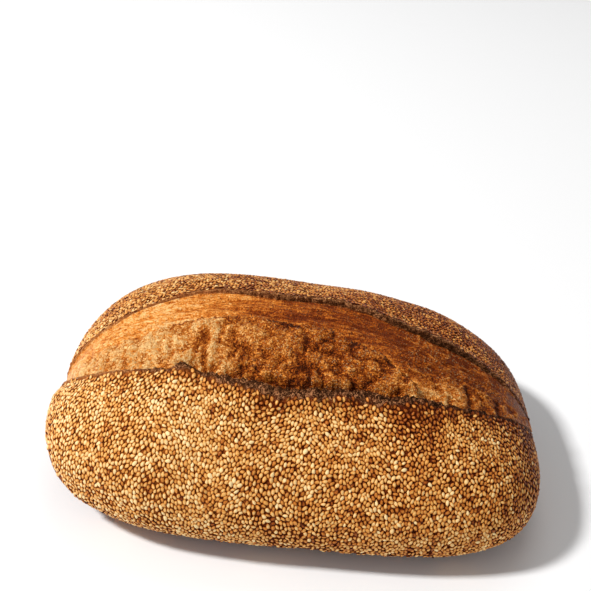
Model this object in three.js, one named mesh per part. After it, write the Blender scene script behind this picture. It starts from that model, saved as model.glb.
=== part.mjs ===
// A large hearth-baked sourdough loaf, in millimetres: one solid, lying on its flat bottom crust.
// X runs along the loaf, Y across it from front to back and Z up. The origin is the centre of
// its bounding box's bottom face.
//
// The body is a superellipsoid, boxy in plan and domed on top, cut off flat where it rested in
// the oven. One wide score opened along the top, so three bands run from end to end: the front
// flap, the bloom that burst out between the two cuts, and the back flap. Each flap ends at its
// cut in an ear, a lip that stands up and leans over the bloom. The surface runs over the tops
// of the seeds that cover the flaps.

import * as THREE from "three";

// Driving dimensions of the body.
const LENGTH = 263.2; // of the plain body; the bulge at the high end adds to it
const WIDTH = 198.8;
const CROWN_HEIGHT = 89.8; // top of the body half way along, before the bands are raised
const GIRTH_HEIGHT = 27; // height at which the loaf is widest
const PLAN_POWER = 3.3; // 2 would be an ellipse seen from above; higher is boxier
const DOME_POWER = 1.9; // the same for the upper half, seen from the end
const FOOT_POWER = 3.2; // and for the lower half
const FOOT_DEPTH = 1.16 * GIRTH_HEIGHT; // the lower half would reach this deep if it weren't cut flat

// The oven shaped the loaf unevenly, with s = x / half length running from -1 to 1.
const WIDTH_TAPER = -0.015; // wider towards -X
const HEIGHT_TAPER = -0.1; // lower towards +X
const AXIS_BOW = -4; // both ends lie this far forward of the middle
const FOOT_SHIFT = 3; // the foot lies this much further towards +X than the crown
const SHIFT_LEVELS = [8, 42]; // heights between which that shift fades out

// The cuts, as angles round the X axis from the back edge (0) over the crown to the front edge (pi).
// Each is c0 + c1 cos(a) + c2 cos(2a) + ..., where a runs from 0 at the -X end to pi at the +X end.
const BACK_CUT = [1.262, 0.003, 0.018, 0.041, 0.012, 0.051];
const FRONT_CUT = [2.382, 0.082, -0.016, 0.053, 0.027, 0.033];

// The ears and the bloom between them.
const EAR_RISE = 14; // width over which a flap climbs to its ear
const EAR_WALL = 1.8; // width of the torn wall under the lip
const EAR_LEAN = 0.5; // how far the lip leans over the bloom, as a share of its height
const HOLLOW_WIDTH = 11; // width of the hollow along the foot of that wall
const BLOOM_CROWN = 2.2; // rise of the bloom half way between the cuts
const FRONT_EAR = { low: 0.8, high: 3.2, at: -0.02, reach: 0.55, hollow: 3 };
const BACK_EAR = { low: 2.4, high: 0.8, at: 0.42, reach: 0.45, hollow: 1.4 };
const END_SWELL = 2.6; // at the high end the front flap bulges this far past the bloom
const END_SINK = 1.6; // and the bloom lies this much lower
const SWELL_REACH = 9; // distance from its cut over which the front flap swells
const TIP_BLEND = 14; // both fade out this near the tip where every band meets

// Mesh stations. Each zone of the girth is [angle where it ends, number of stations].
const EAR_HALF_ANGLE = 0.09;
const LENGTH_STATIONS = 50;
const END_CROWDING = 0.2; // draws the stations along the loaf towards its ends
const girthZones = (back, front) => [
  [back - EAR_HALF_ANGLE, 8],
  [back + EAR_HALF_ANGLE, 7],
  [front - EAR_HALF_ANGLE, 8],
  [front + EAR_HALF_ANGLE, 7],
  [Math.PI, 9],
  [1.5 * Math.PI, 11],
  [2 * Math.PI, 11],
];
const GIRTH_STATIONS = girthZones(0, 0).reduce((sum, [, count]) => sum + count, 0);

const smoothstep = THREE.MathUtils.smoothstep;

const cosineSeries = (terms, a) =>
  terms.reduce((sum, c, k) => sum + c * Math.cos(k * a), 0);

// The angle round the girth of a station, from its share (0 to 1) of the way round.
function girthAngle(share, back, front) {
  let start = 0;
  let station = share * GIRTH_STATIONS;
  for (const [end, count] of girthZones(back, front)) {
    if (station <= count) return start + ((end - start) * station) / count;
    station -= count;
    start = end;
  }
  return start;
}

// The point of the plain body in one direction from the middle of its girth, and the normal there.
function bodyPoint(direction) {
  const upper = direction.z >= 0;
  const power = upper ? DOME_POWER : FOOT_POWER;
  const half = new THREE.Vector3(
    LENGTH / 2,
    WIDTH / 2,
    upper ? CROWN_HEIGHT - GIRTH_HEIGHT : FOOT_DEPTH,
  );
  const share = direction.clone().divide(half);
  const plan = Math.abs(share.x) ** PLAN_POWER + Math.abs(share.y) ** PLAN_POWER;
  const level = plan ** (power / PLAN_POWER) + Math.abs(share.z) ** power;
  const radius = level ** (-1 / power);
  const steepness = plan > 0 ? plan ** (power / PLAN_POWER - 1) : 0;
  const normal = new THREE.Vector3(
    (steepness * Math.sign(share.x) * Math.abs(share.x) ** (PLAN_POWER - 1)) / half.x,
    (steepness * Math.sign(share.y) * Math.abs(share.y) ** (PLAN_POWER - 1)) / half.y,
    (Math.sign(share.z) * Math.abs(share.z) ** (power - 1)) / half.z,
  ).normalize();
  return { point: direction.clone().multiplyScalar(radius), normal };
}

// How tall an ear stands at s along the loaf: highest round its own middle, low towards the ends.
const earHeight = (ear, s) =>
  (ear.low + ear.high * Math.exp(-(((s - ear.at) / ear.reach) ** 4))) * (1 - s ** 8);

// The lift and lean that one ear gives a point, from the distance into the bloom past its cut.
function earShape(ear, s, into) {
  const height = earHeight(ear, s);
  const wall = smoothstep(into, 0, EAR_WALL);
  const climb = smoothstep(into, -EAR_RISE, 0) ** 1.6;
  const hollow = wall * (1 - smoothstep(into, EAR_WALL, HOLLOW_WIDTH));
  return {
    lift: height * climb * (1 - wall) - ear.hollow * hollow * (1 - s ** 8),
    lean: EAR_LEAN * height * smoothstep(into, -5, -0.3) * (1 - wall),
  };
}

// The surface of the loaf at a share of the way round its girth and a share of the way along it.
function loafPoint(round, along) {
  const a = Math.PI * along - END_CROWDING * Math.sin(2 * Math.PI * along);
  const back = cosineSeries(BACK_CUT, a);
  const front = cosineSeries(FRONT_CUT, a);
  const angle = girthAngle(round, back, front) % (2 * Math.PI); // so the last station meets the first
  const direction = new THREE.Vector3(
    -Math.cos(a),
    Math.sin(a) * Math.cos(angle),
    Math.sin(a) * Math.sin(angle),
  );
  const { point, normal } = bodyPoint(direction);
  const s = point.x / (LENGTH / 2);
  const girthRadius = Math.hypot(point.y, point.z);
  const highEnd = smoothstep(-s, 0.72, 0.98) * smoothstep(girthRadius, 0, TIP_BLEND);
  if (angle < Math.PI) {
    const intoFront = (front - angle) * girthRadius;
    const intoBack = (angle - back) * girthRadius;
    const frontEar = earShape(FRONT_EAR, s, intoFront);
    const backEar = earShape(BACK_EAR, s, intoBack);
    const across = THREE.MathUtils.clamp((angle - back) / (front - back), 0, 1);
    const crown = BLOOM_CROWN * Math.sin(Math.PI * across) * Math.sin(a);
    const towardsBack = new THREE.Vector3(0, normal.z, -normal.y).normalize();
    const inBloom = smoothstep(Math.min(intoFront, intoBack), 0, EAR_WALL);
    const swell = END_SWELL * smoothstep(-intoFront, 0, SWELL_REACH) - END_SINK * inBloom;
    point.addScaledVector(normal, backEar.lift + frontEar.lift + crown + swell * highEnd);
    point.addScaledVector(towardsBack, frontEar.lean - backEar.lean);
  } else {
    const frontShare = 1 - smoothstep(angle, 1.1 * Math.PI, 1.7 * Math.PI);
    point.addScaledVector(normal, END_SWELL * frontShare * highEnd);
  }
  point.z = Math.max(point.z + GIRTH_HEIGHT, 0) * (1 + HEIGHT_TAPER * s);
  point.x += FOOT_SHIFT * (1 - smoothstep(point.z, ...SHIFT_LEVELS));
  point.y = point.y * (1 + WIDTH_TAPER * s) + AXIS_BOW * s * s;
  return point;
}

// A sphere's grid laid on its side, with every vertex moved to its place on the loaf.
function loafGeometry() {
  const geometry = new THREE.SphereGeometry(1, GIRTH_STATIONS, LENGTH_STATIONS);
  const { position, uv } = geometry.attributes;
  for (let i = 0; i < position.count; i++) {
    const point = loafPoint(1 - uv.getX(i), 1 - uv.getY(i));
    position.setXYZ(i, point.x, point.y, point.z);
  }
  geometry.computeBoundingBox();
  const centre = geometry.boundingBox.getCenter(new THREE.Vector3());
  geometry.translate(-centre.x, -centre.y, 0);
  geometry.computeVertexNormals();
  return geometry;
}

const crust = new THREE.MeshStandardMaterial({
  color: 0xb4762f,
  roughness: 0.62,
  metalness: 0,
});

const loaf = new THREE.Mesh(loafGeometry(), crust);
loaf.name = "loaf";

const sourdoughLoaf = new THREE.Group();
sourdoughLoaf.add(loaf);

export default sourdoughLoaf;
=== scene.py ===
# The look of a large hearth-baked sourdough loaf: a domed, flat-bottomed body opened by one long
# score, with a blistered bloom between two burnt ears, and flaps thickly covered in toasted sesame.
import math
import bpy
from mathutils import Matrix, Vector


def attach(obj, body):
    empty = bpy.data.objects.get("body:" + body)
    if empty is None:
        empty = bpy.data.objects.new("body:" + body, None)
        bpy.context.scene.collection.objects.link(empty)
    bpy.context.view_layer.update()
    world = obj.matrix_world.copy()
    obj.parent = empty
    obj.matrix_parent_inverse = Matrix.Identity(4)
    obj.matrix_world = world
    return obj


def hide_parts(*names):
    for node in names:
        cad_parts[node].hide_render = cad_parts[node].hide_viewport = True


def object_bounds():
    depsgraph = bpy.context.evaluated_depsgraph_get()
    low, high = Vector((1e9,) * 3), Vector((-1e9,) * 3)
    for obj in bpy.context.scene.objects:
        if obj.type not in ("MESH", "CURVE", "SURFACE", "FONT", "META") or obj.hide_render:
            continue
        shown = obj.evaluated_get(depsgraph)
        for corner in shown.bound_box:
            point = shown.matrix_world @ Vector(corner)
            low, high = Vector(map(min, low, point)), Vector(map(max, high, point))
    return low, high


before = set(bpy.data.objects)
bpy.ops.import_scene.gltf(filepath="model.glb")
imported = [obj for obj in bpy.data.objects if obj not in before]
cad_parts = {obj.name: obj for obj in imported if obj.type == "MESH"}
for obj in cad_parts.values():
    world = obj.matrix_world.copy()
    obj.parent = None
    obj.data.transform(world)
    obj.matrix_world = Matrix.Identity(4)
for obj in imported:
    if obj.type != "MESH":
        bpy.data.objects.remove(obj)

from types import SimpleNamespace

import bpy
import numpy as np
from mathutils import Quaternion, Vector, noise
from mathutils.bvhtree import BVHTree
from mathutils.kdtree import KDTree

cad_low, cad_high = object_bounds()

MM = 0.001
TAU = 2 * math.pi
REPEATABLE = 7  # decimals of a metre kept, so that rounding errors can't make two runs differ
rng = np.random.default_rng(20)

# ---------------------------------------------------------------- sizes of the loaf

LENGTH = 262 * MM  # of the plain body; the high end's bulge adds to it
WIDTH = 197 * MM
CROWN_HEIGHT = 86.4 * MM  # top of the body half way along, before the bands are raised
GIRTH_HEIGHT = 27 * MM  # height at which the loaf is widest
PLAN_POWER = 3.3  # 2 would be an ellipse seen from above; higher is boxier
DOME_POWER = 1.9  # the same for the upper half, seen from the end
FOOT_POWER = 3.2  # and for the lower half
FOOT_DEPTH = 1.16 * GIRTH_HEIGHT  # the lower half would reach this deep if it weren't cut flat

# The oven shaped the loaf unevenly, with s = x / half length running from -1 to 1.
WIDTH_TAPER = -0.015  # wider towards -X
HEIGHT_TAPER = -0.1  # lower towards +X
AXIS_BOW = -4 * MM  # both ends lie this far forward of the middle
FOOT_SHIFT = 3 * MM  # the foot lies this much further towards +X than the crown
SHIFT_LEVELS = (8 * MM, 42 * MM)  # heights between which that shift fades out
OVEN_SWELL = 0.9 * MM  # gentle unevenness of the whole upper skin

# The cuts, as angles round the X axis from the back edge (0) over the crown to the front (pi),
# each a cosine series along the loaf, and how far, in radians, each one's ragged edge strays.
BACK_CUT = (1.262, 0.003, 0.018, 0.041, 0.012, 0.051)
FRONT_CUT = (2.382, 0.082, -0.016, 0.053, 0.027, 0.033)
BACK_STRAY = 0.014
FRONT_STRAY = 0.012

# The ears. Heights, widths and depths are (s, millimetres) stops along the loaf, and the scorch
# is how burnt the lip is, from 0 to 1.
EAR_RISE = 13 * MM  # width over which a flap climbs to its ear
EAR_WALL = 1.3 * MM  # width of the torn wall under the lip
FRONT_LEAN = 0.45  # how far the lip leans over the bloom, as a share of its height
BACK_LEAN = 0.65
FRONT_EAR_HEIGHT = (
    (-1, 0.3), (-0.66, 0.7), (-0.52, 1.4), (-0.46, 3.2), (-0.38, 2.2), (-0.1, 3.4), (0.2, 4.2),
    (0.33, 3.2), (0.42, 4.4), (0.52, 3.0), (0.62, 0.9), (1, 0.3),
)
FRONT_LIP_WIDTH = (
    (-1, 0.2), (-0.75, 0.3), (-0.5, 1.2), (-0.2, 2.4), (0.05, 3.3), (0.3, 3.0), (0.42, 2.4),
    (0.56, 1.0), (0.66, 0.6), (1, 0.4),
)
FRONT_HOLLOW = (
    (-1, 0.2), (-0.5, 0.4), (-0.42, 6.4), (-0.33, 1.6), (-0.2, 2.4), (-0.1, 7.0), (0.02, 4.6),
    (0.12, 6.4), (0.28, 3.6), (0.4, 4.2), (0.58, 0.8), (1, 0.3),
)
FRONT_SCORCH = ((-1, 0.0), (-0.75, 0.2), (-0.5, 0.9), (1, 1.0))
BACK_EAR_HEIGHT = (
    (-1, 0.2), (-0.6, 0.8), (-0.3, 1.5), (0.1, 2.0), (0.6, 3.0), (0.85, 1.6), (1, 0.4),
)
BACK_LIP_WIDTH = (
    (-1, 0.2), (-0.5, 0.6), (-0.3, 1.6), (0, 2.0), (0.5, 2.4), (0.8, 1.6), (1, 0.6),
)
BACK_HOLLOW = (
    (-1, 0.2), (-0.62, 0.3), (-0.55, 1.6), (-0.46, 0.5), (-0.3, 1.2), (0, 1.0), (0.4, 1.4),
    (0.58, 3.6), (0.74, 3.0), (0.84, 0.6), (1, 0.2),
)
BACK_SCORCH = ((-1, 0.0), (-0.5, 0.15), (-0.25, 0.5), (0.1, 0.65), (0.5, 0.85), (1, 0.9))
FRONT_HOLLOW_WIDTH = 9 * MM  # width of the hollow along the foot of the torn wall
BACK_HOLLOW_WIDTH = 3.2 * MM
BACK_CALM = 0.4  # the back lip is this much as crinkled as the front one

END_SWELL = 2.6 * MM  # at the high end the front flap bulges this far past the bloom
END_SINK = 1.6 * MM  # and the bloom lies this much lower
SWELL_REACH = 9 * MM  # distance from its cut over which the front flap swells
TIP_BLEND = 14 * MM  # both fade out this near the tip where every band meets

# The bloom has two lobes. The front one puffed up and tore over the back one, which only
# stretched. The tear runs along this line: (s, share of the way from the back cut to the front).
SEAM = (
    (-1, 0.7), (-0.65, 0.6), (-0.45, 0.52), (-0.2, 0.43), (0.05, 0.47), (0.28, 0.62),
    (0.41, 0.8), (0.5, 1.1), (1, 1.1),
)
BLOOM_CROWN = 2.2 * MM  # rise of the bloom half way between the cuts
LOBE_RISE = 2.7 * MM  # how far the front lobe stands above the back one at the tear
LOBE_REACH = 26 * MM  # distance past the tear at which that rise has faded out
SEAM_GROOVE = 1.2 * MM  # depth of the groove on the back lobe's side

# Lumps on lumps: how wide each kind is and how far it stands up.
LUMP_SIZE, LUMP_RISE = 15 * MM, 3.4 * MM
FOLD_SIZE, FOLD_RISE = 5.4 * MM, 1.9 * MM
COBBLE_SIZE, COBBLE_RISE = 5.2 * MM, 1.0 * MM
PEBBLE_SIZE = 2.4 * MM
PUFF_LIMIT = 1.8 * MM  # no lump stands higher than this
CREASE_WIDTH = 0.06  # how much of a fold or lump, from its lowest line, gets the painted shade of creases
WRINKLE_SIZE, WRINKLE_RISE = 16 * MM, 0.7 * MM
STRETCH_LENGTH, STRETCH_RISE = 34 * MM, 1.0 * MM

# Clefts across the bloom: s, where across the bloom each starts, its depth and width in mm.
CLEFTS = (
    (-0.39, 0.6, 3.0, 1.5), (-0.56, 0.72, 1.6, 1.1), (-0.7, 0.66, 1.3, 1.0),
    (-0.24, 0.74, 1.5, 1.2), (0.02, 0.78, 1.6, 1.4), (0.2, 0.82, 1.4, 1.2),
    (0.66, 0.66, 1.0, 1.2), (0.8, 0.68, 0.7, 1.0),
)

# The bare foot: how high the seeds start, and how much higher that is at the high end.
FOOT_BARE = 9  # mm
HIGH_END_BARE = 25  # mm

# Grid stations. Each zone of the girth ends at an angle given in girth_angle.
EAR_HALF_ANGLE = 0.085
RINGS = 290
GIRTH_COUNTS = (42, 40, 126, 44, 30, 20, 18, 20)
GIRTH_STATIONS = sum(GIRTH_COUNTS)

SEED_LENGTH = 3.3 * MM
SEED_WIDTH = 2.0 * MM
SEED_THICKNESS = 0.95 * MM
SEED_BED = 0.75 * MM  # the crust under the seeds lies this far inside the loaf's outer surface
SEED_COVER = 1.12  # seeds' total area over the area that carries them; they overlap a little
SEED_SPLIT = 42 * MM  # the seeds' pieces are divided this far either side of the middle
SEED_CLOSENESS = (1.3, 1.2, 1.1, 1.0, 0.95, 0.92, 0.9)  # room asked for in each round of pushing
PUSHES = 5  # in each round


# ---------------------------------------------------------------- small helpers

def smoothstep(x, low, high):
    t = np.clip((x - low) / (high - low), 0, 1)
    return t * t * (3 - 2 * t)


def bell(x, middle, width):
    """1 at the middle, fading to nothing about two widths either side."""
    return np.exp(-(((x - middle) / width) ** 2))


def along_stops(stops, s):
    """A value that eases from one (s, value) stop to the next."""
    places = np.array([stop[0] for stop in stops], float)
    values = np.array([stop[1] for stop in stops], float)
    i = np.clip(np.searchsorted(places, s, side="right") - 1, 0, len(places) - 2)
    t = smoothstep(s, places[i], places[i + 1])
    return values[i] + (values[i + 1] - values[i]) * t


def cosine_series(terms, a):
    return sum(c * np.cos(k * a) for k, c in enumerate(terms))


def rough(points, size, octaves=1, shift=0.0):
    """Noise from about -1 to 1 at each point, with lumps of the given size.

    Each use has a shift of its own, so that no two patterns are alike.
    """
    moved = np.asarray(points, float) / size + shift
    return np.array([noise.fractal(Vector(p), 0.8, 2.1, octaves) for p in moved])


def on_line(places):
    """Points along one line, for noise that changes only from end to end of the loaf."""
    return np.stack([places, np.zeros_like(places), np.zeros_like(places)], 1)


def bubbles(points, size, shift=0.0):
    """Rounded lumps: their height, 1 on top, and how near each point is to a gap between two."""
    moved = np.asarray(points, float) / size + shift
    near = np.empty((len(moved), 2))
    for i, p in enumerate(moved):
        p = Vector(p)
        p += 0.45 * noise.noise_vector(p * 0.9)
        near[i] = noise.voronoi(p)[0][:2]
    return 1 - 1.6 * near[:, 0] ** 2, np.exp(-(near[:, 1] - near[:, 0]) / 0.1)


def store(mesh, values_by_name):
    """Each set of values as a named attribute of the mesh's vertices."""
    for name, values in values_by_name.items():
        layer = mesh.attributes.new(name, "FLOAT", "POINT")
        layer.data.foreach_set("value", np.asarray(values, np.float32))


def stored(mesh, name):
    values = np.empty(len(mesh.vertices), np.float32)
    mesh.attributes[name].data.foreach_get("value", values)
    return values


def stand_for_loaf(piece):
    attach(piece, "root")
    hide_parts("loaf")


# ---------------------------------------------------------------- the crust's form

def body_points(direction):
    """The plain body's point in each direction from the middle of its girth, and its normal."""
    upper = direction[:, 2] >= 0
    power = np.where(upper, DOME_POWER, FOOT_POWER)
    half_z = np.where(upper, CROWN_HEIGHT - GIRTH_HEIGHT, FOOT_DEPTH)
    half = np.stack([np.full(len(power), LENGTH / 2), np.full(len(power), WIDTH / 2), half_z], 1)
    share = direction / half
    size = np.abs(share)
    plan = size[:, 0] ** PLAN_POWER + size[:, 1] ** PLAN_POWER
    radius = (plan ** (power / PLAN_POWER) + size[:, 2] ** power) ** (-1 / power)
    steepness = np.maximum(plan, 1e-12) ** (power / PLAN_POWER - 1)
    slope_powers = np.stack([np.full(len(power), PLAN_POWER - 1)] * 2 + [power - 1], 1)
    normal = np.sign(share) * size ** slope_powers
    normal[:, :2] *= steepness[:, None]
    normal /= half
    normal /= np.linalg.norm(normal, axis=1)[:, None]
    return direction * radius[:, None], normal


def girth_angle(share, back, front):
    """The angle round the girth of each station, crowded at the cuts and spread underneath."""
    ends = (
        back - EAR_HALF_ANGLE,
        back + EAR_HALF_ANGLE,
        front - EAR_HALF_ANGLE,
        front + EAR_HALF_ANGLE,
        np.full_like(back, math.pi),
        np.full_like(back, 1.22 * math.pi),
        np.full_like(back, 1.78 * math.pi),
        np.full_like(back, TAU),
    )
    station = share * GIRTH_STATIONS
    angle = np.zeros_like(share)
    start = np.zeros_like(share)
    first = 0
    for end, count in zip(ends, GIRTH_COUNTS):
        inside = station >= first
        angle = np.where(inside, start + (end - start) * (station - first) / count, angle)
        start = end
        first += count
    return angle


def lie_on_body(share, a):
    """Each vertex on the plain body, and where it lies among the flaps and the bloom."""
    at = SimpleNamespace(a=a)
    at.wander = on_line(-np.cos(a) * 13)  # for slow changes along the loaf
    at.tatter = on_line(-np.cos(a) * 55)  # and for quick ones

    def ragged(stray, slow_shift, quick_shift):
        slow = rough(at.wander, 1, 2, slow_shift)
        quick = rough(at.tatter, 1, 3, quick_shift)
        return np.sin(a) * (stray * slow + stray * quick)

    back = cosine_series(BACK_CUT, a) + ragged(BACK_STRAY, 5.7, 1.9)
    front = cosine_series(FRONT_CUT, a) + ragged(FRONT_STRAY, 3.1, 8.3)
    at.angle = girth_angle(share, back, front)
    direction = np.stack(
        [-np.cos(a), np.sin(a) * np.cos(at.angle), np.sin(a) * np.sin(at.angle)], 1
    )
    at.point, at.normal = body_points(direction)
    at.s = at.point[:, 0] / (LENGTH / 2)
    at.girth_radius = np.hypot(at.point[:, 1], at.point[:, 2])
    at.upper = at.angle < math.pi
    at.on_front_side = at.angle > front
    # Distances into the bloom past each cut; the lower half is far outside both.
    at.into_front = np.where(at.upper, (front - at.angle) * at.girth_radius, -1.0)
    at.into_back = np.where(at.upper, (at.angle - back) * at.girth_radius, -1.0)
    at.depth = np.minimum(at.into_front, at.into_back)
    at.from_front = at.into_front < at.into_back
    at.across = np.clip((at.angle - back) / (front - back), 0, 1)
    at.bloom_width = (front - back) * at.girth_radius
    at.in_bloom = at.upper * smoothstep(at.depth, 0.6 * MM, 2 * MM)
    front_scorch = along_stops(FRONT_SCORCH, at.s)
    back_scorch = along_stops(BACK_SCORCH, at.s)
    at.scorch = np.where(at.from_front, front_scorch, back_scorch)
    return at


def ear(into, height, hollow, width, lean_share):
    """Lift and lean of an ear, from the distance into the bloom past its cut."""
    wall = smoothstep(into, 0, EAR_WALL)
    climb = smoothstep(into, -EAR_RISE, 0) ** 1.6
    foot = wall * (1 - smoothstep(into, EAR_WALL, width))
    lift = height * climb * (1 - wall) - hollow * foot
    lean = lean_share * height * smoothstep(into, -5 * MM, -0.3 * MM) * (1 - wall)
    return lift, lean


def raise_ears(at):
    """Both ears' lift, with the hollows under them, and their lean towards the back."""
    ends = 1 - np.abs(at.s) ** 8
    crest = 1 + 0.35 * rough(at.tatter * 1.2, 1, 3, 4.4) + 0.2 * rough(at.wander, 1, 1, 7.4)
    front_height = along_stops(FRONT_EAR_HEIGHT, at.s) * MM * ends * crest
    back_height = along_stops(BACK_EAR_HEIGHT, at.s) * MM * ends * crest
    front_hollow = along_stops(FRONT_HOLLOW, at.s) * MM * ends
    back_hollow = along_stops(BACK_HOLLOW, at.s) * MM * ends
    front_lift, front_lean = ear(
        at.into_front, front_height, front_hollow, FRONT_HOLLOW_WIDTH, FRONT_LEAN
    )
    back_lift, back_lean = ear(at.into_back, back_height, back_hollow, BACK_HOLLOW_WIDTH, BACK_LEAN)
    return front_lift + back_lift, front_lean - back_lean


def tear_lobes(at):
    """The front lobe's lift over the back one, and how far past the tear each spot lies."""
    past = (at.across - along_stops(SEAM, at.s)) * at.bloom_width
    past = past + 2.2 * MM * rough(at.tatter, 1, 3, 2.2)
    past += 1.0 * MM * rough(at.point, 4 * MM, 2, 1.2)
    torn = smoothstep(at.s, -0.8, -0.4) * at.in_bloom
    step = smoothstep(past, -0.6 * MM, 0.8 * MM) * (1 - smoothstep(past, 2 * MM, LOBE_REACH))
    lift = torn * (LOBE_RISE * step - SEAM_GROOVE * bell(past, -1 * MM, 1.3 * MM))
    return lift, past, torn


def puff_up(at, front_lobe):
    """The lumps, folds and clefts of the bloom: their lift, and how much painted shade their creases
    give each spot.
    """
    s, across = at.s, at.across
    away_from_tips = 1 - smoothstep(np.abs(s), 0.86, 0.98)
    edge_lumps = smoothstep(s, 0.45, 0.6) * smoothstep(across, 0.6, 0.8)
    puffy = at.in_bloom * np.clip(0.15 + 0.85 * front_lobe + 0.55 * edge_lumps, 0, 1)
    puffy *= away_from_tips
    # Folds run down to the front ear, most of them on the higher half of the loaf.
    folded = smoothstep(across, 0.5, 0.75) * (0.25 + 0.75 * (1 - smoothstep(s, -0.35, 0.1)))
    folded = folded * at.in_bloom * away_from_tips
    fold_places = np.stack([at.point[:, 0] / FOLD_SIZE, across * 1.7, np.zeros_like(s)], 1)
    fold = np.abs(rough(fold_places, 1, 2, 6.1))
    lump = np.abs(rough(at.point, LUMP_SIZE, 2, 0.6))
    cobble, cobble_gap = bubbles(at.point, COBBLE_SIZE, 3.6)
    pebble, _ = bubbles(at.point, PEBBLE_SIZE, 7.7)
    pebble_rise = (0.2 + 0.45 * puffy) * MM

    puffs = LUMP_RISE * (lump - 0.25) + COBBLE_RISE * (cobble - 0.6)
    puffs = puffs * puffy + pebble_rise * (pebble - 0.6) * at.in_bloom
    puffs += FOLD_RISE * (fold - 0.25) * folded
    puffs = np.where(puffs > 0, PUFF_LIMIT * np.tanh(puffs / PUFF_LIMIT), puffs)
    # painted shade along the lowest lines between lumps and between folds
    between_lumps = np.exp(-lump / CREASE_WIDTH) + 0.6 * cobble_gap * smoothstep(lump, 0.5, 0.1)
    crease_shade = 0.6 * between_lumps * puffy + np.exp(-fold / CREASE_WIDTH) * folded

    crooked = 0.006 * rough(at.point, 5 * MM, 2, 4.6)
    for place, start, depth, width in CLEFTS:
        bend = 0.02 * (across - start) + crooked
        cleft = bell((s - place - bend) * LENGTH / 2, 0, width * MM)
        cleft *= smoothstep(across, start, start + 0.1) * at.in_bloom
        puffs -= 0.8 * depth * MM * cleft
        # painted shade in the cleft
        crease_shade += cleft
    return puffs, np.clip(crease_shade, 0, 1)


def wrinkle_low_end(at):
    """The low end is leathery, with thin raised wrinkles."""
    wrinkle = bell(rough(at.point, WRINKLE_SIZE, 2, 8.8), 0, 0.05) * at.in_bloom
    return wrinkle * smoothstep(at.s, 0.25, 0.5)


def stretch_back_lobe(at, front_lobe):
    """Stretch marks run along the back lobe."""
    places = np.stack([at.point[:, 0] / STRETCH_LENGTH, at.across * 30, np.zeros_like(at.s)], 1)
    stretch = rough(places, 1, 3, 9.4) * (1 - front_lobe) * at.in_bloom
    return stretch * (1 - smoothstep(np.abs(at.s), 0.7, 0.9))


def crinkle_lips(at):
    """How much each spot belongs to a burnt lip, and the lips' crinkled lift."""
    uneven = 1 + 0.7 * rough(at.point, 7 * MM, 2, 0.9)
    front_width = along_stops(FRONT_LIP_WIDTH, at.s) * MM * uneven
    back_width = along_stops(BACK_LIP_WIDTH, at.s) * MM * uneven
    past_front = smoothstep(at.into_front, -front_width - 1.6 * MM, -front_width + 0.4 * MM)
    past_back = smoothstep(at.into_back, -back_width - 1.2 * MM, -back_width + 0.4 * MM)
    on_lip = past_front * past_back * at.upper * (1 - at.in_bloom)
    calm = np.where(at.from_front, 1.0, BACK_CALM)
    crinkle = 1.4 * MM * np.abs(rough(at.point, 3.2 * MM, 2, 5.5)) * on_lip
    crinkle += 1.7 * MM * rough(at.point, 8 * MM, 2, 1.5) * on_lip * at.scorch * calm
    crinkle *= 1 - smoothstep(np.abs(at.s), 0.8, 0.94)
    return on_lip, crinkle


def bulge_high_end(at):
    """At the high end the front flap bulges past the bloom, and the bloom sinks."""
    high_end = smoothstep(-at.s, 0.72, 0.98) * smoothstep(at.girth_radius, 0, TIP_BLEND)
    bulge = END_SWELL * high_end * smoothstep(-at.into_front, 0, SWELL_REACH) * at.on_front_side
    bulge *= 1 - smoothstep(at.angle, 1.1 * math.pi, 1.7 * math.pi)
    return bulge - END_SINK * high_end * at.in_bloom


def sit_down(at, lift, lean):
    """The points raised and leant, then bent, tapered and cut flat as the oven left them."""
    towards_back = np.stack([np.zeros_like(at.s), at.normal[:, 2], -at.normal[:, 1]], 1)
    towards_back /= np.maximum(np.linalg.norm(towards_back, axis=1), 1e-9)[:, None]
    point = at.point + at.normal * lift[:, None]
    point = point + towards_back * lean[:, None]
    point[:, 2] = np.maximum(point[:, 2] + GIRTH_HEIGHT, 0) * (1 + HEIGHT_TAPER * at.s)
    point[:, 0] += FOOT_SHIFT * (1 - smoothstep(point[:, 2], *SHIFT_LEVELS))
    point[:, 1] = point[:, 1] * (1 + WIDTH_TAPER * at.s) + AXIS_BOW * at.s * at.s
    return point


def char_and_ear_shadow(at):
    """How charred the seeds and the crust are beside each cut, more so under the second peak, where the
    wider reach is the ear's shadow painted onto the seeds.
    """
    # under the second peak the reach widens into the ear's painted shadow on the seeds
    second_peak = smoothstep(at.s, 0.34, 0.42) * (1 - smoothstep(at.s, 0.5, 0.58)) * at.from_front
    reach = (4 + 13 * second_peak) * MM
    distance = np.minimum(np.abs(at.into_front), np.abs(at.into_back))
    return np.exp(-distance / reach) * at.upper * at.scorch


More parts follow.
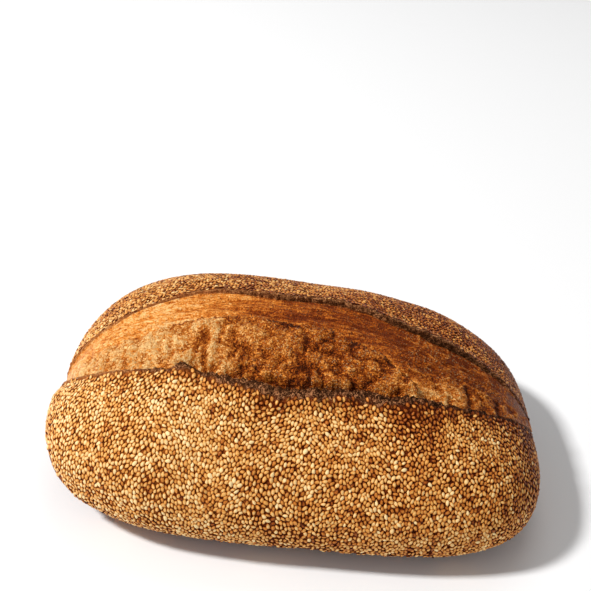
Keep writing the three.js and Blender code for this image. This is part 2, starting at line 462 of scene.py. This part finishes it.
def shape_crust(share, a):
    """Every vertex's place on the crust, and the masks that its finish reads."""
    at = lie_on_body(share, a)
    ears, lean = raise_ears(at)
    crown = BLOOM_CROWN * np.sin(math.pi * at.across) * np.sin(a) * at.upper
    lobe, past_seam, torn = tear_lobes(at)
    front_lobe = smoothstep(past_seam, -2 * MM, 3 * MM)
    puffs, crease_shade = puff_up(at, front_lobe)
    wrinkle = wrinkle_low_end(at)
    stretch = stretch_back_lobe(at, front_lobe)
    swell = OVEN_SWELL * rough(at.point, 55 * MM, 2, 2.5) * smoothstep(at.point[:, 2], -20 * MM, 0)
    on_lip, crinkle = crinkle_lips(at)
    lift = ears + crown + lobe + puffs + swell + crinkle + bulge_high_end(at)
    lift += STRETCH_RISE * stretch
    lift += WRINKLE_RISE * wrinkle

    seeded = (1 - smoothstep(at.in_bloom, 0, 0.2)) * (1 - smoothstep(on_lip, 0.1, 0.9))
    seeded = np.where(at.upper, seeded, 1.0)
    point = sit_down(at, lift - SEED_BED * (0.4 + 0.6 * seeded), lean)

    high_end_bare = HIGH_END_BARE * smoothstep(-at.s, 0.74, 1.0)
    foot_line = (FOOT_BARE + high_end_bare) * MM + 6 * MM * rough(point, 16 * MM, 3, 4.1)
    seeded *= smoothstep(point[:, 2], foot_line - 3 * MM, foot_line + 3 * MM)
    seam_crust_and_shade = smoothstep(past_seam, -1.2 * MM, 0.4 * MM) * (1 - smoothstep(past_seam, 0, 5.5 * MM))
    plain_back_lobe = (1 - front_lobe) * at.in_bloom * (1 - 0.8 * smoothstep(at.s, 0.3, 0.5))
    return point, {
        "s": at.s,
        "across": at.across,
        "seeded": seeded,
        "bloom": at.in_bloom,
        "lip": on_lip,
        "scorch": at.scorch,
        "char": char_and_ear_shadow(at),
        "foot": 1 - smoothstep(point[:, 2], foot_line - 7 * MM, foot_line + 2 * MM),
        # relief height, which the finish reads for painted light on crests, painted shade in hollows
        # and painted glints
        "relief": np.clip(0.5 + puffs / (2 * PUFF_LIMIT) + 0.25 * stretch, 0, 1),
        "back_lobe": plain_back_lobe,
        "seam_crust_and_shade": torn * seam_crust_and_shade,  # the torn edge of the front lobe: darker crust, with painted shade in its crevice
        "brink": torn * bell(past_seam, -2.4 * MM, 1.3 * MM),  # the back lobe just before it
        "crease_shade": crease_shade,
        "wrinkle": wrinkle,
    }


def add_crust():
    """A sphere's grid, with every vertex moved to its place on the loaf."""
    bpy.ops.object.select_all(action="DESELECT")
    bpy.ops.mesh.primitive_uv_sphere_add(segments=GIRTH_STATIONS, ring_count=RINGS, radius=1)
    crust = bpy.context.object
    crust.name = "crust"
    mesh = crust.data
    mesh.name = "crust"
    mesh.uv_layers[0].name = "OFBake"
    start = np.empty(len(mesh.vertices) * 3)
    mesh.vertices.foreach_get("co", start)
    start = start.reshape(-1, 3)
    a = np.arccos(np.clip(-start[:, 2], -1, 1))  # the sphere's poles become the loaf's ends
    share = np.arctan2(start[:, 1], start[:, 0]) / TAU % 1
    share = np.round(share * GIRTH_STATIONS) % GIRTH_STATIONS / GIRTH_STATIONS
    point, masks = shape_crust(share, a)
    box_centre = (point.min(0) + point.max(0)) / 2
    point[:, 0] += (cad_low.x + cad_high.x) / 2 - box_centre[0]
    point[:, 1] += (cad_low.y + cad_high.y) / 2 - box_centre[1]
    mesh.vertices.foreach_set("co", point.round(REPEATABLE).ravel())
    mesh.update()
    store(mesh, masks)
    mesh.shade_smooth()
    stand_for_loaf(crust)
    return crust


# ---------------------------------------------------------------- sesame seeds

def ordered_faces(mesh):
    """The mesh's faces as vertex numbers, in an order that is the same each time it is made."""
    faces = []
    for face in mesh.polygons:
        corners = list(face.vertices)
        first = corners.index(min(corners))
        faces.append(tuple(corners[first:] + corners[:first]))
    return sorted(faces)


def seed_form():
    """One sesame seed, a flat teardrop pointing along +X: its vertices, faces and tip mask."""
    bpy.ops.object.select_all(action="DESELECT")
    bpy.ops.mesh.primitive_uv_sphere_add(
        segments=8, ring_count=5, radius=1, rotation=(0, math.pi / 2, 0)
    )
    bpy.ops.object.transform_apply(location=False, rotation=True, scale=False)
    pattern = bpy.context.object
    points = np.array([v.co for v in pattern.data.vertices])
    faces = ordered_faces(pattern.data)
    bpy.data.objects.remove(pattern)
    narrowing = 1 - 0.3 * points[:, 0] - 0.1 * points[:, 0] ** 2
    formed = np.stack([
        points[:, 0] * SEED_LENGTH / 2,
        points[:, 1] * narrowing * SEED_WIDTH / 2,
        points[:, 2] * (0.5 + 0.5 * narrowing) * SEED_THICKNESS / 2,
    ], 1)
    return formed, faces, points[:, 0]


class Bed:
    """Where seeds lie: the crust's surface, with its seeded mask and its mask of charring and painted
    shadow, by face.
    """

    def __init__(self, crust):
        mesh = crust.data
        points = np.empty(len(mesh.vertices) * 3)
        mesh.vertices.foreach_get("co", points)
        points = points.reshape(-1, 3)
        faces = ordered_faces(mesh)
        self.tree = BVHTree.FromPolygons(points.tolist(), faces)
        four = np.array([f if len(f) == 4 else f + f[-1:] for f in faces])
        corners = points[four]
        self.centres = corners.mean(1)
        diagonals = np.cross(corners[:, 2] - corners[:, 0], corners[:, 3] - corners[:, 1])
        self.areas = np.linalg.norm(diagonals, axis=1) / 2
        self.seeded = stored(mesh, "seeded")[four[:, 0]]
        self.char = stored(mesh, "char")[four[:, 0]]

    def settle(self, points):
        """The nearest surface point, normal and face of each point."""
        hits = [self.tree.find_nearest(Vector(p)) for p in points]
        places = np.array([hit[0] for hit in hits])
        normals = np.array([hit[1] for hit in hits])
        faces = np.array([hit[2] for hit in hits])
        return places, normals, faces


def tangents(normals, turn):
    """A unit direction in the surface for each normal, turned from straight up the loaf's side."""
    along = np.tile([1.0, 0.0, 0.0], (len(normals), 1))
    along -= normals * (normals * along).sum(1)[:, None]
    along /= np.maximum(np.linalg.norm(along, axis=1), 1e-6)[:, None]
    up = np.cross(normals, along)
    return np.cos(turn)[:, None] * up + np.sin(turn)[:, None] * along


def neighbours(places):
    """The two lists of seeds that make up every pair close enough to touch."""
    tree = KDTree(len(places))
    for i, p in enumerate(places):
        tree.insert(p, i)
    tree.balance()
    pairs = [
        (i, j)
        for i, p in enumerate(places)
        for _, j, _ in tree.find_range(p, 1.3 * SEED_LENGTH)
        if j > i
    ]
    return np.array(pairs).T


def push_apart(places, directions, size, closeness):
    """Seeds that overlap moved away from each other, each taken as an oval lying its own way."""
    first, second = neighbours(places)
    for _ in range(PUSHES):
        gap = places[second] - places[first]
        distance = np.maximum(np.linalg.norm(gap, axis=1), 0.05 * MM)
        heading = gap / distance[:, None]
        reach = 0
        for k in (first, second):
            half_length = size[k] * SEED_LENGTH / 2
            half_width = size[k] * SEED_WIDTH / 2
            lengthwise = np.abs((heading * directions[k]).sum(1))
            sideways = np.sqrt(np.maximum(1 - lengthwise ** 2, 0))
            reach = reach + 1 / np.sqrt(
                (lengthwise / half_length) ** 2 + (sideways / half_width) ** 2
            )
        overlap = np.maximum(closeness * reach - distance, 0)
        push = heading * (0.25 * overlap)[:, None]
        for axis in range(3):
            places[:, axis] -= np.bincount(first, push[:, axis], len(places))
            places[:, axis] += np.bincount(second, push[:, axis], len(places))
        places = places.round(REPEATABLE)
    return places


def place_seeds(bed):
    """Seeds scattered over the flaps and pushed apart until they lie side by side."""
    weight = bed.areas * (bed.seeded > 0.3)
    room = weight.sum()
    footprint = math.pi / 4 * SEED_LENGTH * SEED_WIDTH
    count = int(SEED_COVER * room / footprint)
    faces = rng.choice(len(weight), count, p=weight / room)
    places = bed.centres[faces] + rng.normal(0, 0.5 * MM, (count, 3))
    places, normals, faces = bed.settle(places)
    size = rng.normal(1, 0.07, count).clip(0.82, 1.2)
    swirl = 0.9 * rough(places, 30 * MM, 2, 6.6)
    untidiness = 0.42 + 0.2 * smoothstep(places[:, 0], -60 * MM, 60 * MM)
    turn = 0.12 + swirl + rng.normal(0, untidiness, count)
    for closeness in SEED_CLOSENESS:
        places = push_apart(places, tangents(normals, turn), size, closeness)
        places, normals, faces = bed.settle(places)
    kept = bed.seeded[faces] > rng.uniform(0.1, 0.9, count)
    return places[kept], normals[kept], turn[kept], size[kept], faces[kept]


def seed_tone_and_shade(places, char):
    """Each seed's tone, from 0 dark to 1 pale: darker to the low end from toasting and painted shade,
    darker on the back flap from painted shade, and darker by the cuts from charring and, under the
    second peak, the ear's painted shadow.
    """
    x, y = places[:, 0], places[:, 1]
    tone = 0.63 + 0.17 * rng.normal(0, 1, len(places))
    tone += 0.07 * rough(places, 14 * MM, 2, 1.1) + 0.04 * rough(places, 40 * MM, 2, 5.1)
    # darker towards the low end: deeper toasting there, and painted shade
    tone -= 0.13 * smoothstep(x, -100 * MM, 60 * MM) + 0.18 * smoothstep(x, 90 * MM, 130 * MM)
    # painted shade on the back flap, deeper towards the low end
    tone -= (0.2 + 0.12 * smoothstep(x, 0, 80 * MM)) * smoothstep(y, 0, 30 * MM)
    # darker beside the cuts: charring, and under the second peak the ear's painted shadow
    tone -= 0.6 * char
    burnt = rng.random(len(places)) < 0.002
    return np.where(burnt, 0.02, np.clip(tone, 0.08, 1))


def seed_groups(places):
    """The seeds' pieces: which seeds lie on each flap, and on which stretch of it."""
    sides = {"front": places[:, 1] < 0, "back": places[:, 1] >= 0}
    stretches = {
        "high": places[:, 0] < -SEED_SPLIT,
        "middle": np.abs(places[:, 0]) <= SEED_SPLIT,
        "low": places[:, 0] > SEED_SPLIT,
    }
    return {
        f"{side}_seeds_{stretch}": np.nonzero(on_side & in_stretch)[0]
        for side, on_side in sides.items()
        for stretch, in_stretch in stretches.items()
    }


def spread_seed_map(mesh, count, form, form_faces):
    """A map with one cell for each seed: its top in the left half and its underside in the right."""
    side = math.ceil(math.sqrt(count))
    corners = np.array([v for f in form_faces for v in f])
    under = np.array([form[list(f), 2].mean() < 0 for f in form_faces for _ in f])
    u = (form[corners, 0] / SEED_LENGTH + 0.5) * 0.42 + 0.04 + 0.5 * under
    v = (form[corners, 1] / (1.3 * SEED_WIDTH) + 0.5) * 0.9 + 0.05
    cell = np.arange(count)
    layer = mesh.uv_layers.new(name="OFBake")
    uv = np.stack([
        ((cell % side)[:, None] + u[None]) / side,
        ((cell // side)[:, None] + v[None]) / side,
    ], 2)
    layer.data.foreach_set("uv", uv.ravel())


def add_seeds(bed):
    """All the seeds, joined into a few pieces by where they lie."""
    form, form_faces, tip = seed_form()
    places, normals, turn, size, faces = place_seeds(bed)
    count = len(places)
    normals = normals + rng.normal(0, 0.13, (count, 3))
    normals /= np.linalg.norm(normals, axis=1)[:, None]
    lengthwise = tangents(normals, turn + math.pi * (rng.random(count) > 0.5))
    sideways = np.cross(normals, lengthwise)
    stand = (0.12 + 0.22 * rng.random(count)) * SEED_THICKNESS
    tone = seed_tone_and_shade(places, bed.char[faces])
    fatness = rng.normal(1, 0.08, count).clip(0.8, 1.2)
    x = form[None, :, 0] * size[:, None]
    y = form[None, :, 1] * (size * fatness)[:, None]
    z = form[None, :, 2] * size[:, None] + stand[:, None]
    points = (
        places[:, None, :]
        + x[..., None] * lengthwise[:, None, :]
        + y[..., None] * sideways[:, None, :]
        + z[..., None] * normals[:, None, :]
    )
    # each vertex's height in its seed, for the painted shade low on its rim
    rise = form[:, 2] / (SEED_THICKNESS / 2)
    per_seed = len(form)
    pieces = []
    for name, chosen in seed_groups(places).items():
        n = len(chosen)
        mesh_faces = [tuple(k * per_seed + v for v in f) for k in range(n) for f in form_faces]
        mesh = bpy.data.meshes.new(name)
        mesh.from_pydata(points[chosen].reshape(-1, 3).tolist(), [], mesh_faces)
        mesh.shade_smooth()
        store(mesh, {
            "tone": np.repeat(tone[chosen], per_seed),
            "tip": np.tile(tip, n),
            "rise": np.tile(rise, n),
        })
        spread_seed_map(mesh, n, form, form_faces)
        piece = bpy.data.objects.new(name, mesh)
        bpy.context.collection.objects.link(piece)
        stand_for_loaf(piece)
        pieces.append(piece)
    return pieces


# ---------------------------------------------------------------- finishes

def tint(red, green, blue):
    """A colour given in display values from 0 to 255, as the linear colour that shaders take."""
    linear = []
    for value in (red, green, blue):
        c = value / 255
        linear.append(c / 12.92 if c <= 0.04045 else ((c + 0.055) / 1.055) ** 2.4)
    return (*linear, 1)


# Colours in order of baking, the first one the least baked, except where a name says otherwise. On the
# bloom and on the bed under the seeds, the darker colours stand for painted shade as well as for
# baking.
BLOOM_PALE_TO_DARK = (
    (0.0, tint(255, 204, 136)), (0.1, tint(250, 178, 94)), (0.24, tint(234, 145, 58)),
    (0.45, tint(198, 106, 30)), (0.68, tint(148, 64, 12)), (0.88, tint(98, 34, 5)),
    (1.0, tint(58, 17, 3)),
)
# painted highlight: the glints on the blisters
BLISTER_GLINT = tint(248, 205, 145)
BED_PALE_TO_DARK = ((0.0, tint(186, 100, 36)), (0.5, tint(108, 36, 6)), (1.0, tint(54, 15, 3)))
BURNT_TO_BROWN = ((0.16, tint(32, 10, 4)), (0.5, tint(96, 46, 21)), (0.92, tint(186, 126, 84)))
UNBURNT_LIP = (tint(158, 88, 42), tint(206, 140, 82))
BROWN_TO_FLOURY = ((0.1, tint(92, 42, 12)), (0.5, tint(140, 76, 30)), (0.9, tint(184, 124, 66)))
DARK_TO_PALE_SESAME = (
    (0.0, tint(84, 27, 4)), (0.16, tint(148, 72, 18)), (0.38, tint(200, 120, 46)),
    (0.62, tint(230, 168, 88)), (1.0, tint(250, 220, 162)),
)
CRUST_SHEEN = tint(255, 214, 166)
SESAME_SHEEN = tint(255, 222, 180)
SEEDED_ROUGHNESS = 0.75


def toasting_group():
    """Uneven toasting, for any baked surface: broad patches and fine grain, each from 0 to 1."""
    group = bpy.data.node_groups.new("uneven_toasting", "ShaderNodeTree")
    group.interface.new_socket("Place", in_out="INPUT", socket_type="NodeSocketVector")
    masks = {
        "Patch": ("Scale", "Detail", "Softness"),
        "Grain": ("Scale", "Detail", "Roughness", "Distortion", "Softness"),
    }
    for mask, settings in masks.items():
        for setting in settings:
            group.interface.new_socket(
                f"{mask} {setting}", in_out="INPUT", socket_type="NodeSocketFloat"
            )
        group.interface.new_socket(mask, in_out="OUTPUT", socket_type="NodeSocketFloat")
    given = group.nodes.new("NodeGroupInput")
    made = group.nodes.new("NodeGroupOutput")
    link = group.links.new
    for mask, settings in masks.items():
        spots = group.nodes.new("ShaderNodeTexNoise")
        spots.inputs["Roughness"].default_value = 0.55
        link(given.outputs["Place"], spots.inputs["Vector"])
        for setting in settings[:-1]:
            link(given.outputs[f"{mask} {setting}"], spots.inputs[setting])
        edges = group.nodes.new("ShaderNodeMapRange")
        edges.interpolation_type = "SMOOTHSTEP"
        link(spots.outputs["Fac"], edges.inputs["Value"])
        for operation, end in (("SUBTRACT", "From Min"), ("ADD", "From Max")):
            shift = group.nodes.new("ShaderNodeMath")
            shift.operation = operation
            shift.inputs[0].default_value = 0.5
            link(given.outputs[f"{mask} Softness"], shift.inputs[1])
            link(shift.outputs[0], edges.inputs[end])
        link(edges.outputs["Result"], made.inputs[mask])
    return group


class Finish:
    """A material and short ways to add its nodes."""

    def __init__(self, name):
        self.material = bpy.data.materials.new(name)
        self.material.use_nodes = True
        self.tree = self.material.node_tree
        self.shader = self.tree.nodes["Principled BSDF"]
        self.place = self.tree.nodes.new("ShaderNodeTexCoord").outputs["Object"]

    def link(self, source, socket):
        self.tree.links.new(source, socket)

    def feed(self, socket, value):
        if isinstance(value, bpy.types.NodeSocket):
            self.link(value, socket)
        else:
            socket.default_value = value

    def spot(self, name):
        """One of the masks stored on the mesh."""
        node = self.tree.nodes.new("ShaderNodeAttribute")
        node.attribute_name = name
        return node.outputs["Fac"]

    def toasting(self, group, **settings):
        """The uneven toasting's patches and grain, with this finish's own settings."""
        node = self.tree.nodes.new("ShaderNodeGroup")
        node.node_tree = group
        self.link(self.place, node.inputs["Place"])
        for name, value in settings.items():
            node.inputs[name.replace("_", " ").title()].default_value = value
        return node.outputs["Patch"], node.outputs["Grain"]

    def noise(self, size, detail=2.0, roughness=0.55, stretch=None, twist=0.0):
        node = self.tree.nodes.new("ShaderNodeTexNoise")
        node.inputs["Scale"].default_value = 1 / size
        node.inputs["Detail"].default_value = detail
        node.inputs["Roughness"].default_value = roughness
        node.inputs["Distortion"].default_value = twist
        self.link(self.stretched(stretch), node.inputs["Vector"])
        return node.outputs["Fac"]

    def cells(self, size):
        """Distance from the middle of the nearest cell."""
        node = self.tree.nodes.new("ShaderNodeTexVoronoi")
        node.inputs["Scale"].default_value = 1 / size
        self.link(self.place, node.inputs["Vector"])
        return node.outputs["Distance"]

    def stretched(self, stretch):
        if stretch is None:
            return self.place
        node = self.tree.nodes.new("ShaderNodeMapping")
        node.inputs["Scale"].default_value = stretch
        self.link(self.place, node.inputs["Vector"])
        return node.outputs["Vector"]

    def maths(self, operation, a, b=0.0):
        node = self.tree.nodes.new("ShaderNodeMath")
        node.operation = operation
        self.feed(node.inputs[0], a)
        self.feed(node.inputs[1], b)
        return node.outputs[0]

    def times(self, a, b):
        return self.maths("MULTIPLY", a, b)

    def total(self, *terms):
        result = terms[0]
        for term in terms[1:]:
            result = self.maths("ADD", result, term)
        return result

    def below_half(self, value, amount):
        """The amount, times how far the value is below a half."""
        return self.times(self.maths("SUBTRACT", 0.5, value), amount)

    def band(self, value, low, high, to_low=0.0, to_high=1.0):
        """The value eased from one range to another."""
        node = self.tree.nodes.new("ShaderNodeMapRange")
        node.interpolation_type = "SMOOTHSTEP"
        self.feed(node.inputs["Value"], value)
        node.inputs["From Min"].default_value = low
        node.inputs["From Max"].default_value = high
        node.inputs["To Min"].default_value = to_low
        node.inputs["To Max"].default_value = to_high
        return node.outputs["Result"]

    def between(self, mask, at_none, at_full):
        """A value straight between two, by a mask from 0 to 1."""
        return self.total(self.times(mask, at_full - at_none), at_none)

    def ramp(self, value, stops):
        node = self.tree.nodes.new("ShaderNodeValToRGB")
        elements = node.color_ramp.elements
        while len(elements) < len(stops):
            elements.new(0.5)
        for element, (position, colour) in zip(elements, stops):
            element.position = position
            element.color = colour
        self.link(value, node.inputs["Fac"])
        return node.outputs["Color"]

    def blend(self, amount, a, b):
        node = self.tree.nodes.new("ShaderNodeMix")
        node.data_type = "RGBA"
        self.feed(node.inputs["Factor"], amount)
        self.feed(node.inputs[6], a)  # the two colours' sockets
        self.feed(node.inputs[7], b)
        return node.outputs[2]

    def bump(self, height, distance):
        node = self.tree.nodes.new("ShaderNodeBump")
        node.inputs["Strength"].default_value = 1.0
        node.inputs["Distance"].default_value = distance
        self.link(height, node.inputs["Height"])
        self.link(node.outputs["Normal"], self.shader.inputs["Normal"])


def bloom_bake_and_shade(f, patch, mottle, fleck):
    """How dark the bloom is, from baking and from painted light and shade: pale gold at the high end
    and dark chestnut at the low end, partly baking and partly painted shade, with crests paler and
    hollows, creases and the tear's crevice darker as painted light and shade.
    """
    s = f.spot("s")
    across = f.spot("across")
    golden = f.times(f.band(s, 0.3, 0.44), f.band(across, 0.6, 0.92))
    golden = f.times(golden, f.band(s, 0.5, 0.85, 1, 0.3))
    bake_and_shade = f.total(
        # darker towards the low end: deeper baking there, and painted shade
        f.band(s, -0.6, 0.08, 0.04, 0.59),
        f.band(s, 0.15, 0.7, 0.0, 0.13),
        f.band(across, 0.9, 0.3, 0.0, 0.1),
        f.times(golden, -0.4),
        f.band(patch, 0, 1, -0.05, 0.05),
        f.band(mottle, 0, 1, -0.06, 0.06),
        f.below_half(fleck, 0.52),
        f.below_half(f.noise(0.8 * MM, 2, 0.7), 1.1),
        # painted light and shade: crests paler, hollows darker
        f.band(f.spot("relief"), 0.15, 0.8, 0.13, -0.11),
        f.times(f.spot("back_lobe"), 0.05),
    )
    return f.total(
        f.maths("MINIMUM", bake_and_shade, 0.86),
        # the tear's edge darker: darker crust there, and painted shade in its crevice
        f.times(f.spot("seam_crust_and_shade"), f.band(mottle, 0, 1, 0.18, 0.4)),
        f.times(f.spot("brink"), -0.16),
        # painted shade in the creases and clefts
        f.times(f.spot("crease_shade"), 0.32),
        f.times(f.spot("wrinkle"), -0.34),
    )


def crust_finish(toasting):
    f = Finish("baked_crust")
    patch, grain = f.toasting(
        toasting, patch_scale=1 / (22 * MM), patch_detail=3, patch_softness=0.14,
        grain_scale=1 / (1.5 * MM), grain_detail=3, grain_roughness=0.7, grain_distortion=1.2,
        grain_softness=0.11,
    )
    mottle = f.band(f.noise(4.5 * MM, 3, 0.6), 0.36, 0.64)
    s = f.spot("s")
    back_lobe = f.spot("back_lobe")

    streaks = f.band(f.noise(1 * MM, 3, 0.6, (0.14, 0.7, 0.7), 0.6), 0.36, 0.64)
    fleck = f.blend(f.times(back_lobe, 0.6), grain, streaks)
    bloom = f.ramp(bloom_bake_and_shade(f, patch, mottle, fleck), BLOOM_PALE_TO_DARK)
    # painted glints: pale dots on the blisters' crests; the same cells make the blisters' bumps
    blister_and_glint = f.band(f.cells(1.4 * MM), 0.4, 0.1)
    glint_share = f.times(blister_and_glint, f.band(back_lobe, 0, 1, 0.55, 0.16))
    glint_share = f.times(glint_share, f.band(f.spot("relief"), 0.3, 0.6))
    glint_share = f.times(glint_share, f.band(s, -0.5, 0, 0.35, 1))
    bloom = f.blend(glint_share, bloom, BLISTER_GLINT)

    # darker towards the low end: deeper baking there, and painted shade
    bed = f.ramp(f.total(f.band(s, -0.9, 0.7, 0.12, 0.7), f.band(mottle, 0, 1, -0.2, 0.2)), BED_PALE_TO_DARK)
    brown = f.total(
        f.band(grain, 0, 1, 0, 0.9),
        f.band(mottle, 0, 1, 0, 0.22),
        f.band(f.spot("char"), 0.3, 0.9, 0.12, -0.35),
    )
    lip = f.blend(f.spot("scorch"), f.blend(grain, *UNBURNT_LIP), f.ramp(brown, BURNT_TO_BROWN))
    floury = f.total(
        f.band(mottle, 0, 1, 0.1, 0.34), f.band(patch, 0, 1, 0, 0.26), f.band(grain, 0, 1, 0, 0.24)
    )
    colour = f.blend(f.spot("foot"), bed, f.ramp(floury, BROWN_TO_FLOURY))
    colour = f.blend(f.spot("lip"), colour, lip)
    colour = f.blend(f.spot("bloom"), colour, bloom)
    f.link(colour, f.shader.inputs["Base Color"])

    bloom_roughness = f.band(grain, 0, 1, 0.36, 0.5)
    roughness = f.blend(f.spot("bloom"), (SEEDED_ROUGHNESS,) * 4, bloom_roughness)
    f.link(roughness, f.shader.inputs["Roughness"])
    f.shader.inputs["Specular IOR Level"].default_value = 0.14
    f.shader.inputs["Specular Tint"].default_value = CRUST_SHEEN
    height = f.total(f.times(fleck, 0.6), f.times(blister_and_glint, 0.8), f.times(f.noise(0.7 * MM, 2, 0.7), 0.6))
    f.bump(height, 0.65 * MM)
    return f.material


def seed_finish(toasting):
    f = Finish("toasted_sesame")
    patch, grain = f.toasting(
        toasting, patch_scale=1 / (24 * MM), patch_detail=2, patch_softness=0.2,
        grain_scale=1 / (0.9 * MM), grain_detail=1, grain_roughness=0.55, grain_distortion=0,
        grain_softness=0.2,
    )
    shade = f.total(
        f.spot("tone"),
        f.between(patch, -0.06, 0.05),
        f.between(grain, -0.08, 0.08),
        f.times(f.band(f.spot("tip"), 0.2, 1.0), -0.12),
        # painted shade: each seed darker low down by its rim and paler on top
        f.band(f.spot("rise"), 0.1, 0.95, -0.5, 0.16),
    )
    f.link(f.ramp(shade, DARK_TO_PALE_SESAME), f.shader.inputs["Base Color"])
    f.link(f.between(grain, 0.36, 0.5), f.shader.inputs["Roughness"])
    f.shader.inputs["Specular IOR Level"].default_value = 0.2
    f.shader.inputs["Specular Tint"].default_value = SESAME_SHEEN
    return f.material


def floor_finish():
    f = Finish("pale_floor")
    f.shader.inputs["Base Color"].default_value = (0.93, 0.93, 0.93, 1)
    f.shader.inputs["Roughness"].default_value = 0.8
    return f.material


# ---------------------------------------------------------------- camera, floor and light

CAMERA_AIM = Vector((-8 * MM, 5 * MM, 96 * MM))
CAMERA_ELEVATION = math.radians(30.7)
CAMERA_ROLL = math.radians(5.6)
CAMERA_DISTANCE = 525 * MM
CAMERA_LENS = 60
FLOOR_SIDE = 12
LIGHT_AIM = Vector((0, 0, 0.04))


def add_camera():
    back = Vector((0, -math.cos(CAMERA_ELEVATION), math.sin(CAMERA_ELEVATION)))
    data = bpy.data.cameras.new("camera")
    data.lens = CAMERA_LENS
    camera = bpy.data.objects.new("camera", data)
    camera.location = CAMERA_AIM + back * CAMERA_DISTANCE
    camera.rotation_mode = "QUATERNION"
    camera.rotation_quaternion = back.to_track_quat("Z", "Y") @ Quaternion((0, 0, 1), CAMERA_ROLL)
    bpy.context.collection.objects.link(camera)
    bpy.context.scene.camera = camera


def add_floor():
    bpy.ops.object.select_all(action="DESELECT")
    bpy.ops.mesh.primitive_plane_add(size=FLOOR_SIDE)
    floor = bpy.context.object
    floor.name = "floor"
    floor.data.materials.append(floor_finish())


def add_softbox(name, place, size, watts):
    data = bpy.data.lights.new(name, "AREA")
    data.size = size
    data.energy = watts
    lamp = bpy.data.objects.new(name, data)
    lamp.location = place
    lamp.rotation_mode = "QUATERNION"
    lamp.rotation_quaternion = (Vector(place) - LIGHT_AIM).to_track_quat("Z", "Y")
    bpy.context.collection.objects.link(lamp)


def add_light():
    add_softbox("key", (-2.6, -0.5, 2.7), 0.45, 150)
    add_softbox("fill", (2.4, -3.4, 2.4), 3.0, 20)
    add_softbox("top", (0.3, 2.4, 3.4), 2.6, 24)
    world = bpy.data.worlds.new("studio")
    world.use_nodes = True
    surround = world.node_tree.nodes["Background"]
    surround.inputs["Color"].default_value = (1, 1, 1, 1)
    surround.inputs["Strength"].default_value = 0.28
    bpy.context.scene.world = world
    bpy.context.scene.view_settings.view_transform = "Standard"


# ---------------------------------------------------------------- the loaf on its floor

toasting = toasting_group()
crust = add_crust()
crust.data.materials.append(crust_finish(toasting))
sesame = seed_finish(toasting)
for piece in add_seeds(Bed(crust)):
    piece.data.materials.append(sesame)
add_camera()
add_floor()
add_light()
